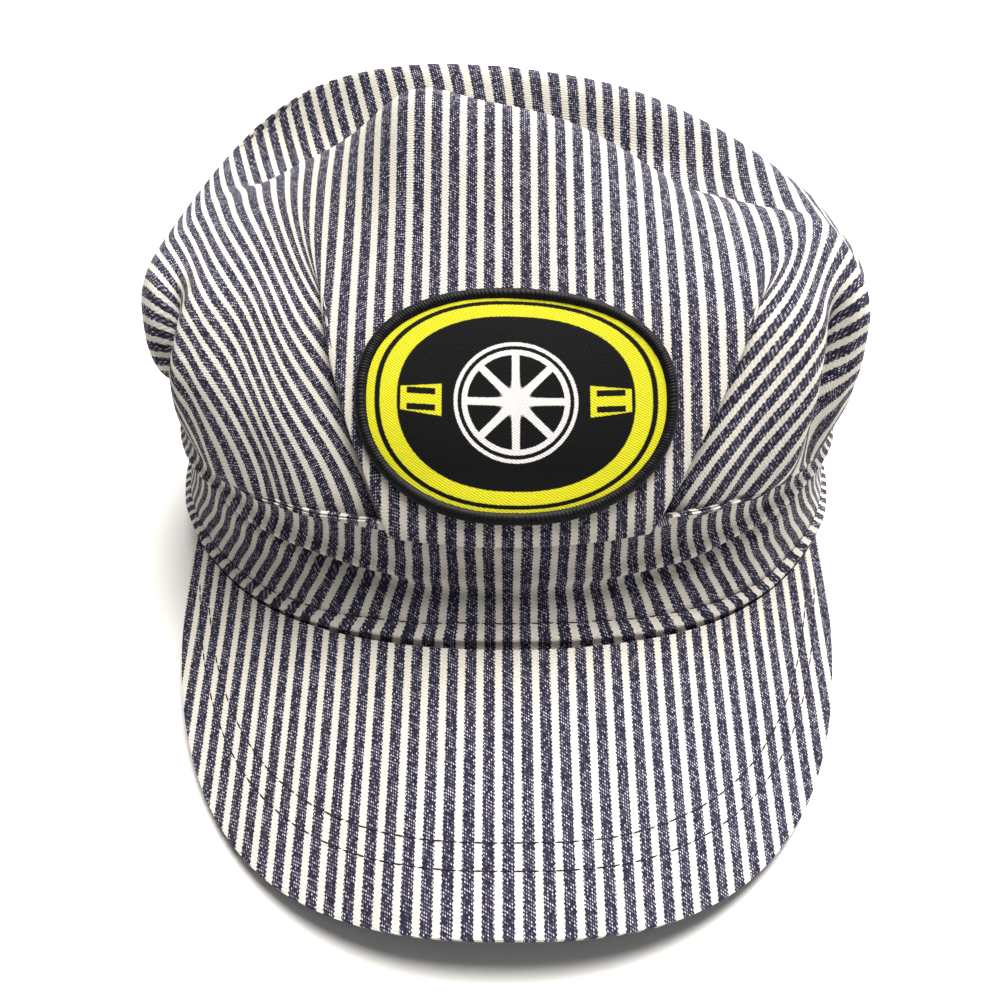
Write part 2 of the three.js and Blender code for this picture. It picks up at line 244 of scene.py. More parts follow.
def lay_flat(on_panel):
    """Flat places of the cloth on a table of levels and turns, in millimetres."""
    level = np.linspace(0, crown_top, flat_levels)[:, None]
    turn = np.arange(-180, 181, flat_turn)[None, :]
    points = crown_at(turn, level, sum_of_folds(crown_folds, turn, level))
    step = np.diff(points, axis=0)
    run = np.linalg.norm(step, axis=-1)
    middle = (level[1:] + level[:-1]) / 2
    high = smooth((middle - hem_straight_to) / hem_straight_fade)
    left, right = hang_left.T, hang_right.T
    out = np.radians(np.where(
        turn < 0,
        -np.interp(-turn, left[0], left[1]) * high - np.interp(-turn, left[0], left[2]) * (1 - high),
        np.interp(turn, right[0], right[1]) * high + np.interp(turn, right[0], right[2]) * (1 - high),
    ))
    behind = smooth((np.abs(turn) - behind_from) / behind_fade)
    hang = smooth((brow_from - brow_lower_behind * behind - middle) / (brow_from - brow_to))
    edge = np.where(turn < 0, pleat_edge(left_pleat, middle), pleat_edge(right_pleat, middle))
    beside = smooth((np.abs(turn) - edge + beside_pleat) / beside_fade)
    hang = hang * np.where(middle > pleat_top, beside, 0 if on_panel else 1)
    across = hang * run * np.sin(out) - np.clip(1 - hang, 0, 1) * step[..., 0]
    plan = np.hypot(step[..., 0], step[..., 1])
    back = step[..., 1] * run / np.maximum(plan, 0.001)
    around = hang * run * np.cos(out) + np.clip(1 - hang, 0, 1) * back
    u = np.concatenate([across, points[-1:, :, 0]])[::-1].cumsum(0)[::-1]
    # Behind the ridge on the left the cloth lies turned, so its stripes meet the ridge in chevrons.
    past = np.maximum(points[..., 1] - ridge_y, 0) * smooth((ridge_right_end - points[..., 0]) / ridge_fade)
    u = u + ridge_lean * past
    v = -np.concatenate([around, 0 * around[:1]])[::-1].cumsum(0)[::-1]
    return np.stack([u, v], -1)


def between(grid, row, column):
    """A grid of values at any places between its rows and columns, on a smooth surface."""
    grid = np.pad(grid, ((1, 2), (1, 2), (0, 0)), mode="reflect", reflect_type="odd")
    row, column = np.broadcast_arrays(row, column)
    i, j = np.floor(row).astype(int), np.floor(column).astype(int)

    def weights(t):
        return (
            0.5 * t * (-1 + t * (2 - t)),
            1 + 0.5 * t * t * (-5 + 3 * t),
            0.5 * t * (1 + t * (4 - 3 * t)),
            0.5 * t * t * (t - 1),
        )

    total = 0
    for a, wa in enumerate(weights(row - i)):
        for b, wb in enumerate(weights(column - j)):
            ia = np.minimum(i + a, grid.shape[0] - 1)
            jb = np.minimum(j + b, grid.shape[1] - 1)
            total = total + (wa * wb)[..., None] * grid[ia, jb]
    return total


flat_sides, flat_panel = lay_flat(False), lay_flat(True)


def flat_place(table, turn, level):
    """Metres across and along the flat cloth."""
    row = level / crown_top * (flat_levels - 1)
    return between(table, row, (turn + 180) / flat_turn) / 1000


# Crown: the sewn cloth
# The same cloth on a fine mesh. At each pleat the panel's edge turns under, and the side cloth
# comes out from beneath it.
crown_rows = 10
fold_columns = 10
panel_columns = 64
side_columns = 88
panel_half_of_fold = 0.45

# Across a pleat, from the panel's edge to the side: how far beyond the edge, and how deep.
pleat_fold = np.array([
    (0.00, 0.00),
    (0.14, 0.08),
    (0.10, 0.24),
    (-0.50, 0.46),
    (-1.00, 0.56),
    (-1.08, 0.68),
    (-0.80, 0.82),
    (-0.20, 0.94),
    (0.40, 0.99),
])
pleat_under = 2.6
pleat_flat = 1.5
# Depths in millimetres at which a pleat starts to fold under, and how much more folds it fully.
fold_starts = 1.0
fold_closes = 1.6


def pleat_strength(pleat, level):
    """How far the pleat is folded under, from 1 at the hem to 0 where it runs out."""
    return np.clip((pleat_depth(pleat, level) - fold_starts) / fold_closes, 0, 1)


def side_grid(pleat, level):
    strength = pleat_strength(pleat, level)
    start = pleat_flat * (1 - strength) + pleat_fold[-1, 0] * pleat_under * strength
    share = np.linspace(0, 1, side_columns + 1)[None, :]
    edge = pleat_edge(pleat, level)
    beyond = start + (180 - edge - start) * share
    turn = pleat[0] * (edge + beyond)
    push = -pleat_depth(pleat, level) * np.exp(-beyond / pleat_fade)
    return turn, push, flat_place(flat_sides, turn, level)


def panel_grid(level):
    share = np.linspace(-1, 1, panel_columns + 1)[None, :]
    edge = np.where(share < 0, pleat_edge(left_pleat, level), pleat_edge(right_pleat, level))
    strength = np.where(share < 0, pleat_strength(left_pleat, level), pleat_strength(right_pleat, level))
    share = share * (1 - pleat_flat * (1 - strength) / edge)
    turn = panel_turn(share, level)
    return turn, 0 * turn, flat_place(flat_panel, turn, level)


def fold_grid(pleat, level, inner, outer):
    """Columns between the panel's edge and the side's first one. Each half carries on the stripes
    of the cloth that it belongs to, and they change over where nobody sees it."""
    share = np.arange(1, fold_columns)[None, :] / fold_columns
    under, deep = np.moveaxis(along(pleat_fold, share * (len(pleat_fold) - 1)), -1, 0)
    strength = pleat_strength(pleat, level)
    edge = pleat_edge(pleat, level)
    beyond = strength * under * pleat_under + (1 - strength) * pleat_flat * (2 * share - 1)
    depth = pleat_depth(pleat, level) * (strength * deep + (1 - strength) * share)
    turn = pleat[0] * (edge + beyond)
    half = (share < panel_half_of_fold)[..., None]
    folded = np.where(half, flat_place(flat_panel, turn, level), flat_place(flat_sides, turn, level))
    even = inner[:, None] * (1 - share[..., None]) + outer[:, None] * share[..., None]
    flat = even + (folded - even) * strength[..., None]
    return turn, -depth, flat


# Narrow creases and ridges on top of the large folds, by the same columns.
sharp_folds = [
    (-84, -62, 2.6, 0.3, 5.4, -4.8),
    (-70, -54, 4.0, 0.6, 5.0, 1.4),
    (-92, -74, 6.0, 0.8, 5.6, 1.0),
    (-88, -88, 20, 0.1, 2.2, -4.6),
    (55, 68, 2.6, 0.3, 5.8, -4.8),
    (46, 58, 3.5, 0.6, 5.4, 1.4),
    (68, 80, 6.0, 0.8, 6.2, 1.8),
    (84, 88, 20, 0.1, 2.0, -4.8),
    (-34, -42, 3.0, 0.2, 3.4, -1.2),
    (34, 40, 3.0, 0.2, 3.2, -1.2),
]
# Swells of the loose cloth: their size, their height and which ones they are.
broad_slack = (26, 1.6, 1.0)
fine_slack = (11, 0.45, 2.0)
uneven_puckers = (30, 1, 3.0)
cheek_from = 28
cheek_fade = 30
# The hem: puckers along its seam, how far it stands out over the band in front, and how its edge
# turns in behind the band's top.
pucker_count = 62
pucker_height = 0.45
hem_stand = 2.6
hem_stand_half = 15
tuck_in = 2.4
tuck_down = 0.5
tuck_cloth = 0.0025
# The rim around the top: its levels, where the back of it begins, and how often it is smoothed.
rim_from = 4.0
rim_to = 10.6
rim_behind = 80
rim_rounding = 70


def crown_cloth():
    level = np.arange(crown_top * crown_rows + 1)[:, None] / crown_rows
    left = side_grid(left_pleat, level)
    right = side_grid(right_pleat, level)
    panel = panel_grid(level)
    left_fold = fold_grid(left_pleat, level, panel[2][:, 0], left[2][:, 0])
    right_fold = fold_grid(right_pleat, level, panel[2][:, -1], right[2][:, 0])
    turn, push, flat = [
        np.concatenate([left[k][:, ::-1], left_fold[k][:, ::-1], panel[k], right_fold[k], right[k]], 1)
        for k in range(3)
    ]
    push = push + sum_of_folds(crown_folds, turn, level) + sum_of_folds(sharp_folds, turn, level)
    plain = crown_base(turn, level)
    sides = np.clip((np.abs(turn) - cheek_from) / cheek_fade, 0, 1)
    push = push + sides * slack(plain, *broad_slack) + (0.25 + sides) * slack(plain, *fine_slack)
    pucker = np.sin(np.radians(turn) * pucker_count + 2.5 * slack(plain, *uneven_puckers))
    by_hem = np.exp(-((level - 0.5) / 0.45) ** 2)
    push = push + pucker_height * pucker * by_hem * np.clip(sides + 0.2, 0, 1)
    push = push + hem_stand * np.exp(-(level / 0.45) ** 2) * np.exp(-(turn / hem_stand_half) ** 4)
    points = crown_at(turn, level, push)
    points[-1] = points[-1].mean(0)
    points[:, 0] = points[:, -1] = (points[:, 0] + points[:, -1]) / 2
    # The top's rim is rounded, because cloth doesn't fold tighter than its own thickness.
    rounded = smooth((level - rim_from) / 0.8) * smooth((rim_to - level) / 0.6)
    rounded = rounded * (0.3 + 0.7 * smooth((np.abs(turn) - rim_behind) / 20))
    for _ in range(rim_rounding):
        for grid in (points, flat):
            even = (grid[:-2, 1:-1] + grid[2:, 1:-1] + grid[1:-1, :-2] + grid[1:-1, 2:]) / 4
            grid[1:-1, 1:-1] += 0.8 * rounded[1:-1, 1:-1, None] * (even - grid[1:-1, 1:-1])
    tuck = points[:1].copy()
    inward = outward(crown_base, turn[:1], level[:1], crown_top)
    inward[..., 2] = 0
    inward /= np.linalg.norm(inward, axis=-1, keepdims=True)
    tuck -= tuck_in * inward + (0, 0, tuck_down)
    points = np.concatenate([tuck, points])
    flat = np.concatenate([flat[:1] - (0, tuck_cloth), flat])
    return in_frame(points), flat


def sewn_sheet(name, points, flat):
    """A grid of cloth moved to its points, with the flat cloth as its UV map."""
    rows, columns = points.shape[0] - 1, points.shape[1] - 1
    bm = bmesh.new()
    bmesh.ops.create_grid(bm, x_segments=columns, y_segments=rows, size=1)
    layer = bm.loops.layers.uv.new("cloth")
    places = [(round((v.co.y + 1) / 2 * rows), round((v.co.x + 1) / 2 * columns)) for v in bm.verts]
    for vert, (r, c) in zip(bm.verts, places):
        vert.co = points[r, c]
        for loop in vert.link_loops:
            loop[layer].uv = flat[r, c]
    bmesh.ops.remove_doubles(bm, verts=bm.verts, dist=2e-6)
    mesh = bpy.data.meshes.new(name)
    bm.to_mesh(mesh)
    bm.free()
    mesh.shade_smooth()
    piece = bpy.data.objects.new(name, mesh)
    bpy.context.scene.collection.objects.link(piece)
    return piece


def give_wall(piece, thickness):
    wall = piece.modifiers.new("wall", "SOLIDIFY")
    wall.thickness = thickness / 1000
    wall.offset = -1
    wall.use_rim = True


def linear(colour):
    """An sRGB hex colour as linear values."""
    parts = [int(colour[i: i + 2], 16) / 255 for i in (1, 3, 5)]
    return [c / 12.92 if c <= 0.04045 else ((c + 0.055) / 1.055) ** 2.4 for c in parts] + [1]


def empty_material(name):
    material = bpy.data.materials.new(name)
    material.use_nodes = True
    material.node_tree.nodes.clear()
    return material, material.node_tree


def add(tree, kind, inputs=None, **settings):
    """Adds a node with its settings, and its inputs as values or other nodes' sockets."""
    made = tree.nodes.new("ShaderNode" + kind)
    for name, value in settings.items():
        setattr(made, name, value)
    for socket, value in (inputs or {}).items():
        if isinstance(value, bpy.types.NodeSocket):
            tree.links.new(value, made.inputs[socket])
        else:
            made.inputs[socket].default_value = value
    return made


# Hickory-stripe denim: indigo and cream cotton warps over a white weft, woven in a twill. Indigo
# yarns let white flecks of weft through, and the twill's steps make the stripes' edges jagged.
# In millimetres, the stripes repeat every 3/16 inch.
stripe_pitch = 4.7625
indigo_share = 0.60
twill_step = 1.02
yarn_step = 0.55
weft_step = 0.78
twill_shift = 0.36
jag_depth = 0.15
edge_softness = 0.022


def hickory_denim():
    material, tree = empty_material("hickory_stripe_denim")
    place = add(tree, "UVMap", uv_map="cloth")
    in_mm = add(tree, "Mapping", {"Vector": place.outputs[0], "Scale": (1000, 1000, 1000)})
    xy = add(tree, "SeparateXYZ", {0: in_mm.outputs[0]})
    u, v = xy.outputs[0], xy.outputs[1]

    # Jagged edge: a rounded saw along the stripe, a little uneven.
    uneven = add(tree, "TexNoise", {"Vector": in_mm.outputs[0], "Scale": 0.55, "Detail": 2.0})
    saw_phase = add(tree, "Math", {0: v, 1: 2 * math.pi / twill_step}, operation="MULTIPLY")
    wobble = add(tree, "Math", {
        0: uneven.outputs[0], 1: 7.0, 2: saw_phase.outputs[0],
    }, operation="MULTIPLY_ADD")
    saw = add(tree, "Math", {0: wobble.outputs[0]}, operation="SINE")
    jag = add(tree, "Math", {0: saw.outputs[0], 1: jag_depth, 2: u}, operation="MULTIPLY_ADD")
    stripes = add(tree, "Math", {0: jag.outputs[0], 1: 1 / stripe_pitch, 2: 0.5}, operation="MULTIPLY_ADD")
    share = add(tree, "Math", {0: stripes.outputs[0]}, operation="FRACT")
    centred = add(tree, "Math", {0: share.outputs[0], 1: 0.5}, operation="SUBTRACT")
    off = add(tree, "Math", {0: centred.outputs[0]}, operation="ABSOLUTE")
    indigo = add(tree, "MapRange", {
        "Value": off.outputs[0],
        "From Min": indigo_share / 2 + edge_softness,
        "From Max": indigo_share / 2 - edge_softness,
    }, interpolation_type="SMOOTHSTEP")

    # Twill: cells one yarn wide, each stepped up by about a third on its neighbour. The flecks are
    # drawn a little coarse so that they show.
    column = add(tree, "Math", {0: u, 1: 1 / yarn_step}, operation="MULTIPLY")
    stepped = add(tree, "Math", {0: column.outputs[0], 1: twill_shift}, operation="MULTIPLY")
    row = add(tree, "Math", {0: v, 1: 1 / weft_step, 2: stepped.outputs[0]}, operation="MULTIPLY_ADD")
    cell_column = add(tree, "Math", {0: column.outputs[0]}, operation="FLOOR")
    cell_row = add(tree, "Math", {0: row.outputs[0]}, operation="FLOOR")
    cell = add(tree, "CombineXYZ", {0: cell_column.outputs[0], 1: cell_row.outputs[0]})
    chance = add(tree, "TexWhiteNoise", {"Vector": cell.outputs[0]}, noise_dimensions="2D")
    column_part = add(tree, "Math", {0: column.outputs[0]}, operation="FRACT")
    row_part = add(tree, "Math", {0: row.outputs[0]}, operation="FRACT")
    inside = add(tree, "CombineXYZ", {0: column_part.outputs[0], 1: row_part.outputs[0]})
    from_middle = add(tree, "VectorMath", {0: inside.outputs[0], 1: (0.5, 0.5, 0)}, operation="DISTANCE")
    dot = add(tree, "MapRange", {
        "Value": from_middle.outputs["Value"], "From Min": 0.46, "From Max": 0.12,
    }, interpolation_type="SMOOTHSTEP")
    bright = add(tree, "Math", {0: chance.outputs["Value"], 1: 1.7}, operation="POWER")
    fleck = add(tree, "Math", {0: dot.outputs[0], 1: bright.outputs[0]}, operation="MULTIPLY")
    rib_turn = add(tree, "Math", {0: row.outputs[0], 1: 2 * math.pi}, operation="MULTIPLY")
    rib = add(tree, "Math", {0: rib_turn.outputs[0]}, operation="COSINE")

    # Colours: the dye is uneven from yarn to yarn and a little worn over the folds.
    dye = add(tree, "TexNoise", {"Vector": in_mm.outputs[0], "Scale": 1.1, "Detail": 3.0})
    dark = add(tree, "Mix", {
        "Factor": dye.outputs[0], "A": linear("#1b1924"), "B": linear("#454257"),
    }, data_type="RGBA")
    flecked = add(tree, "Mix", {
        "Factor": fleck.outputs[0], "A": dark.outputs["Result"], "B": linear("#cfccd5"),
    }, data_type="RGBA")
    pale = add(tree, "Mix", {
        "Factor": dye.outputs[0], "A": linear("#bfbaaf"), "B": linear("#d4d1cb"),
    }, data_type="RGBA")
    cloth = add(tree, "Mix", {
        "Factor": indigo.outputs[0], "A": pale.outputs["Result"], "B": flecked.outputs["Result"],
    }, data_type="RGBA")
    coordinates = add(tree, "TexCoord")
    patches = add(tree, "TexNoise", {"Vector": coordinates.outputs["Object"], "Scale": 26.0, "Detail": 2.0})
    worn = add(tree, "MapRange", {"Value": patches.outputs[0], "To Min": 0.86, "To Max": 1.1})
    colour = add(tree, "Mix", {
        "Factor": 1.0, "A": cloth.outputs["Result"], "B": worn.outputs[0],
    }, data_type="RGBA", blend_type="MULTIPLY")

    height = add(tree, "Math", {0: rib.outputs[0], 1: 0.5, 2: fleck.outputs[0]}, operation="MULTIPLY_ADD")
    bump = add(tree, "Bump", {"Height": height.outputs[0], "Strength": 0.5, "Distance": 0.00016})
    shader = add(tree, "BsdfPrincipled", {
        "Base Color": colour.outputs["Result"],
        "Roughness": 0.92,
        "Specular IOR Level": 0.2,
        "Sheen Weight": 0.12,
        "Sheen Roughness": 0.5,
        "Normal": bump.outputs[0],
    })
    add(tree, "OutputMaterial", {"Surface": shader.outputs[0]})
    return material


denim = hickory_denim()
crown = sewn_sheet("crown_cloth", *crown_cloth())
give_wall(crown, cloth_wall)
crown.data.materials.append(denim)
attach(crown, "root")
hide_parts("crown")


# Band
# An upright strip of the same denim, sewn under the crown's hem and on to the visor. Its foot is
# turned in and stitched, held up by the visor in front and on the table behind. Its middle has
# buckled in, so that the upper half sags over the lower one.
band_width = 208
band_length = 180
band_foot = 70
band_middle = 0.52
band_buckle = 5
band_settle = 150
band_wall = 1.8
visor_end = 64
visor_thickness = 3
# Millimetres above the foot: where the turned-in roll is widest, and the stitched groove above it.
roll_at = 3.9
roll_half = 1.1
groove_at = 5.9
groove_half = 0.7
foot_roll = 1.5
foot_groove = 0.8
# How far the foot's lowest cloth is held up, and up to what height.
foot_stand = 0.6
foot_stand_to = 6
# Where the band's top is tucked in behind the hem: its level, its middle and half in degrees.
hem_recess = 2.4
hem_recess_at = 3.7
hem_recess_middle = -4
hem_recess_half = 17
band_slack = (16, 1.0, 5.0)
# The lip: its level in the middle of the front, how much higher it is at the sides, how far the
# cloth sags over it and is drawn in under it, and how its stripes slant on both sides of it.
lip_level = 1.85
lip_rise = 1.15
lip_sag = 1.0
lip_sag_more = 1.3
lip_drawn_in = 1.25
slant_below_lip = -0.36
slant_above_lip = 0.22
# Degrees from the front: where the lip starts to climb and how soon it has climbed, the same for
# the deeper sag, and where the lip has run out and how slowly.
lip_climbs_from = 12
lip_climbs_over = 50
sag_deepens_from = 10
sag_deepens_over = 15
lip_ends = 112
lip_fade = 30

# Rise from foot to top, lean from the foot's outline to the crown's hem, buckle.
band_sections = np.array([
    (0.00, 0.00, 0.0),
    (0.20, 0.16, 0.5),
    (0.48, 0.48, 1.0),
    (0.76, 0.80, 0.4),
    (1.00, 1.00, 0.0),
])


# The visor's top: how high its front edge is in the middle, how it climbs to the back, and its arch.
visor_front_height = 11.9
visor_climb = 0.247
visor_arch = 31.2
visor_arch_flat = 7.9
visor_arch_half = 90


def visor_height(x, y):
    share = x / visor_arch_half
    arch = visor_arch * share ** 2 - visor_arch_flat * share ** 4
    return visor_front_height + visor_climb * y - arch


def foot_point(turn):
    turn = np.asarray(turn, float)
    cos, sin = np.cos(np.radians(turn)), np.sin(np.radians(turn))
    x = band_width / 2 * sin
    end = np.where(cos > 0, 0, 1)
    y = band_foot + band_length * (band_middle + (end - band_middle) * np.abs(cos))
    z = visor_height(x, y) - visor_thickness
    beyond = np.abs(np.where(turn > 180, turn - 360, turn)) - visor_end
    if np.any(beyond > 0):
        last = foot_point(np.array([float(visor_end)]))[0, 2]
        sunk = np.clip(1 - beyond / (band_settle - visor_end), 0, 1) ** 1.7
        z = np.where(beyond > 0, last * sunk, z)
    return np.stack([x, y, z], -1)


def band_base(turn, level):
    turn, level = np.broadcast_arrays(np.asarray(turn, float), np.asarray(level, float))
    rise, lean, _ = np.moveaxis(along(band_sections, level), -1, 0)
    foot, top = foot_point(turn), crown_base(turn, 0 * level)
    point = foot + (top - foot) * lean[..., None]
    point[..., 2] = foot[..., 2] + (top[..., 2] - seam_gap - foot[..., 2]) * rise
    return point


def band_out(turn, level):
    out = outward(band_base, turn, level, 4)
    out[..., 2] = 0
    return out / np.linalg.norm(out, axis=-1, keepdims=True)


def band_lip(turn):
    """The level at which the band's upper half sags over its lower half."""
    return lip_level + lip_rise * np.clip((np.abs(turn) - lip_climbs_from) / lip_climbs_over, 0, 1)


def band_push(turn, level):
    """How far the band's cloth stands out from its plain shape."""
    turn, level = np.broadcast_arrays(turn, level)
    plain = band_base(turn, level)
    front = np.clip((np.cos(np.radians(turn)) + 0.45) / 1.45, 0, 1) ** 1.5
    push = -band_buckle * front * along(band_sections, level)[..., 2]
    above = level - band_lip(turn)
    deeper = np.clip((np.abs(turn) - sag_deepens_from) / sag_deepens_over, 0, 1)
    sag = (lip_sag + lip_sag_more * deeper) * np.clip((lip_ends - np.abs(turn)) / lip_fade, 0, 1)
    over, under = np.exp(-((above - 0.26) / 0.24) ** 2), np.exp(-((above + 0.16) / 0.2) ** 2)
    push = push + sag * (over - lip_drawn_in * under)
    # The foot is turned in and stitched: a roll over the visor's seam, and a groove for the thread.
    high = plain[..., 2] - foot_point(turn)[..., 2]
    push = push + foot_roll * np.exp(-((high - roll_at) / roll_half) ** 2)
    push = push - foot_groove * np.exp(-((high - groove_at) / groove_half) ** 2)
    # Under the panel the band's top is tucked in behind the hem.
    tucked = np.exp(-((turn - hem_recess_middle) / hem_recess_half) ** 4)
    push = push + 0.5 * np.exp(-((level - hem_recess_at) / 0.2) ** 2) * (1 - tucked)
    push = push - hem_recess * tucked * np.exp(-((level - hem_recess_at) / 0.5) ** 2)
    return push + slack(plain, *band_slack) * np.sin(np.pi * level / 4)


def band_surface(turn, level):
    turn, level = np.broadcast_arrays(turn, level)
    return band_base(turn, level) + band_out(turn, level) * band_push(turn, level)[..., None]


def band_cloth(columns=330, rows=56):
    turn = np.linspace(-180, 180, columns + 1)[None, :]
    level = np.linspace(0, 4, rows + 1)[:, None]
    turn, level = np.broadcast_arrays(turn, level)
    points = band_surface(turn, level)
    points[..., 2] += foot_stand * np.clip(1 - points[..., 2] / foot_stand_to, 0, 1)
    points[:, 0] = points[:, -1]
    middle = points[rows // 2]
    steps = np.linalg.norm(np.diff(middle, axis=0), axis=1)
    run = np.concatenate([[0], np.cumsum(steps)])
    run -= np.interp(0, turn[0], run)
    climb = np.linalg.norm(np.diff(points[:, columns // 2], axis=0), axis=1)
    climb = np.concatenate([[0], np.cumsum(climb)])
    # Under the lip the cloth is twisted outwards, above it a little inwards.
    height = climb[:, None] + 0 * turn
    lip = np.interp(band_lip(turn), level[:, 0], climb)
    slant = np.where(height < lip, slant_below_lip, slant_above_lip)
    slant = slant * np.clip((np.abs(turn) - 4) / 28, 0, 1)
    slant = slant * np.clip((105 - np.abs(turn)) / 40, 0, 1) * np.sign(turn)
    run = run[None, :] + slant * (lip - height) * np.where(height < lip, 1, -1)
    flat = np.stack([run, height], -1) / 1000
    return in_frame(points), flat


band = sewn_sheet("band_cloth", *band_cloth())
give_wall(band, band_wall)
band.data.materials.append(denim)
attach(band, "root")
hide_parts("band")


# Visor
# A stiff board arched from side to side, covered in denim whose stripes run from back to front.
# The cover lies a little loose over the board and is caught in the seam under the band.
visor_width = 187.5
visor_reach = 114
visor_front = 1
visor_square = 2.38
visor_slack = (40, 0.9, 7.0)
visor_rounding = 1.1


def visor_point(across, reach):
    """Across from -1 to 1, reach from 0 at the band's seam to 1 at the outer edge."""
    across, reach = np.broadcast_arrays(np.asarray(across, float), np.asarray(reach, float))
    seam = band_base(visor_end * across, 0 * across)
    seam = seam + seam_gap * band_out(visor_end * across, 0 * across)
    edge_turn = np.radians(90 * across)
    edge_x = visor_width / 2 * squared(np.sin(edge_turn), visor_square)
    edge_y = visor_front + visor_reach * (1 - squared(np.cos(edge_turn), visor_square))
    x = seam[..., 0] + (edge_x - seam[..., 0]) * reach
    y = seam[..., 1] + (edge_y - seam[..., 1]) * reach
    return np.stack([x, y, visor_height(x, y)], -1)


arch_x = np.linspace(-110, 110, 441)
arch_run = np.concatenate([[0], np.cumsum(np.hypot(np.diff(arch_x), np.diff(visor_height(arch_x, 0))))])
arch_run -= np.interp(0, arch_x, arch_run)


def visor_top(across, reach):
    """The outer face of the visor's loose cover."""
    points = visor_point(across, reach)
    points[..., 2] += np.abs(slack(points, *visor_slack))
    return points


def visor_cloth(columns=180, rows=54):
    across = np.linspace(-1, 1, columns + 1)[None, :]
    reach = 1 - np.concatenate([[0, 0.018], np.linspace(0.036, 1, rows - 1)])[:, None]
    points = visor_top(across, reach)
    flat = np.stack([np.interp(points[..., 0], arch_x, arch_run), points[..., 1]], -1) / 1000
    return in_frame(points), flat


visor = sewn_sheet("visor_board", *visor_cloth())
give_wall(visor, visor_thickness)
rounding = visor.modifiers.new("rounding", "BEVEL")
rounding.affect = "EDGES"
rounding.width = visor_rounding / 1000
rounding.segments = 3
rounding.profile = 0.5
rounding.material = -1
rounding.limit_method = "ANGLE"
rounding.angle_limit = math.radians(50)
visor.data.materials.append(denim)
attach(visor, "root")
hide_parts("visor")


# Patch
# An oval badge of printed cotton twill, sewn flat on the front panel. Its print is a yellow oval
# with a thin black line around a black field, where a plain spoked wheel stands between two bars.
patch_width = 82
patch_height = 62
patch_rise = 36.5
patch_shift = 2
patch_square = 2.3
patch_wall = 1.0
patch_lift = 1.25
patch_ripple = 0.12
border_width = 3.6
under_border = 0.6

climb_levels = np.arange(1, 10, 0.02)
climb_turn = 0 * climb_levels
climb_points = crown_at(climb_turn, climb_levels, sum_of_folds(crown_folds, climb_turn, climb_levels))
climb_run = np.concatenate([[0], np.cumsum(np.linalg.norm(np.diff(climb_points, axis=0), axis=1))])


def panel_point(right, up, lift):
    """A point so far to the right and so far up the cloth of the front panel."""
    right, up, lift = np.broadcast_arrays(right, up, lift)
    level = np.interp(up, climb_run, climb_levels)
    low, high = np.full(up.shape, -60.0), np.full(up.shape, 60.0)
    for _ in range(24):
        turn = (low + high) / 2
        short = crown_base(turn, level)[..., 0] < right
        low, high = np.where(short, turn, low), np.where(short, high, turn)
    return crown_at(low, level, sum_of_folds(crown_folds, low, level) + lift)


def patch_cloth(cells=64):
    side = np.linspace(-1, 1, cells + 1)
    a, b = side[None, :], side[:, None]
    x, y = a * np.sqrt(1 - b * b / 2), b * np.sqrt(1 - a * a / 2)
    reach = np.hypot(x, y)
    turn = np.arctan2(x, y)
    inset = border_width * under_border
    right = reach * (patch_width / 2 - inset) * squared(np.sin(turn), patch_square)
    up = reach * (patch_height / 2 - inset) * squared(np.cos(turn), patch_square)
    lift = patch_lift + patch_ripple * np.sin(right / 6) * np.cos(up / 8)
    flat = np.stack([right, up], -1) / 1000
    return in_frame(panel_point(patch_shift + right, patch_rise + up, lift)), flat


# The print in millimetres from the patch's middle, from its edge inwards: the black line and field,
# then the wheel, and the bars with their slots.
oval_edge = 31.0
line_edges = (26.9, 25.9)
field_edge = 22.6
wheel_rim = (15.6, 12.2)
wheel_groove = (14.6, 13.6)
wheel_hub = 3.6
spoke_half = 0.95
spoke_reach = 13.5
spoke_pairs = 4.0
bar_ends = (29.0, 18.6)
bar_half = 6.2
bar_taper = -0.11
slot_ends = (27.4, 20.2)
slot_middle = 2.1
slot_half = 0.8
ink_edge = 0.12
rib_pitch = 0.7
rib_slope = 0.62


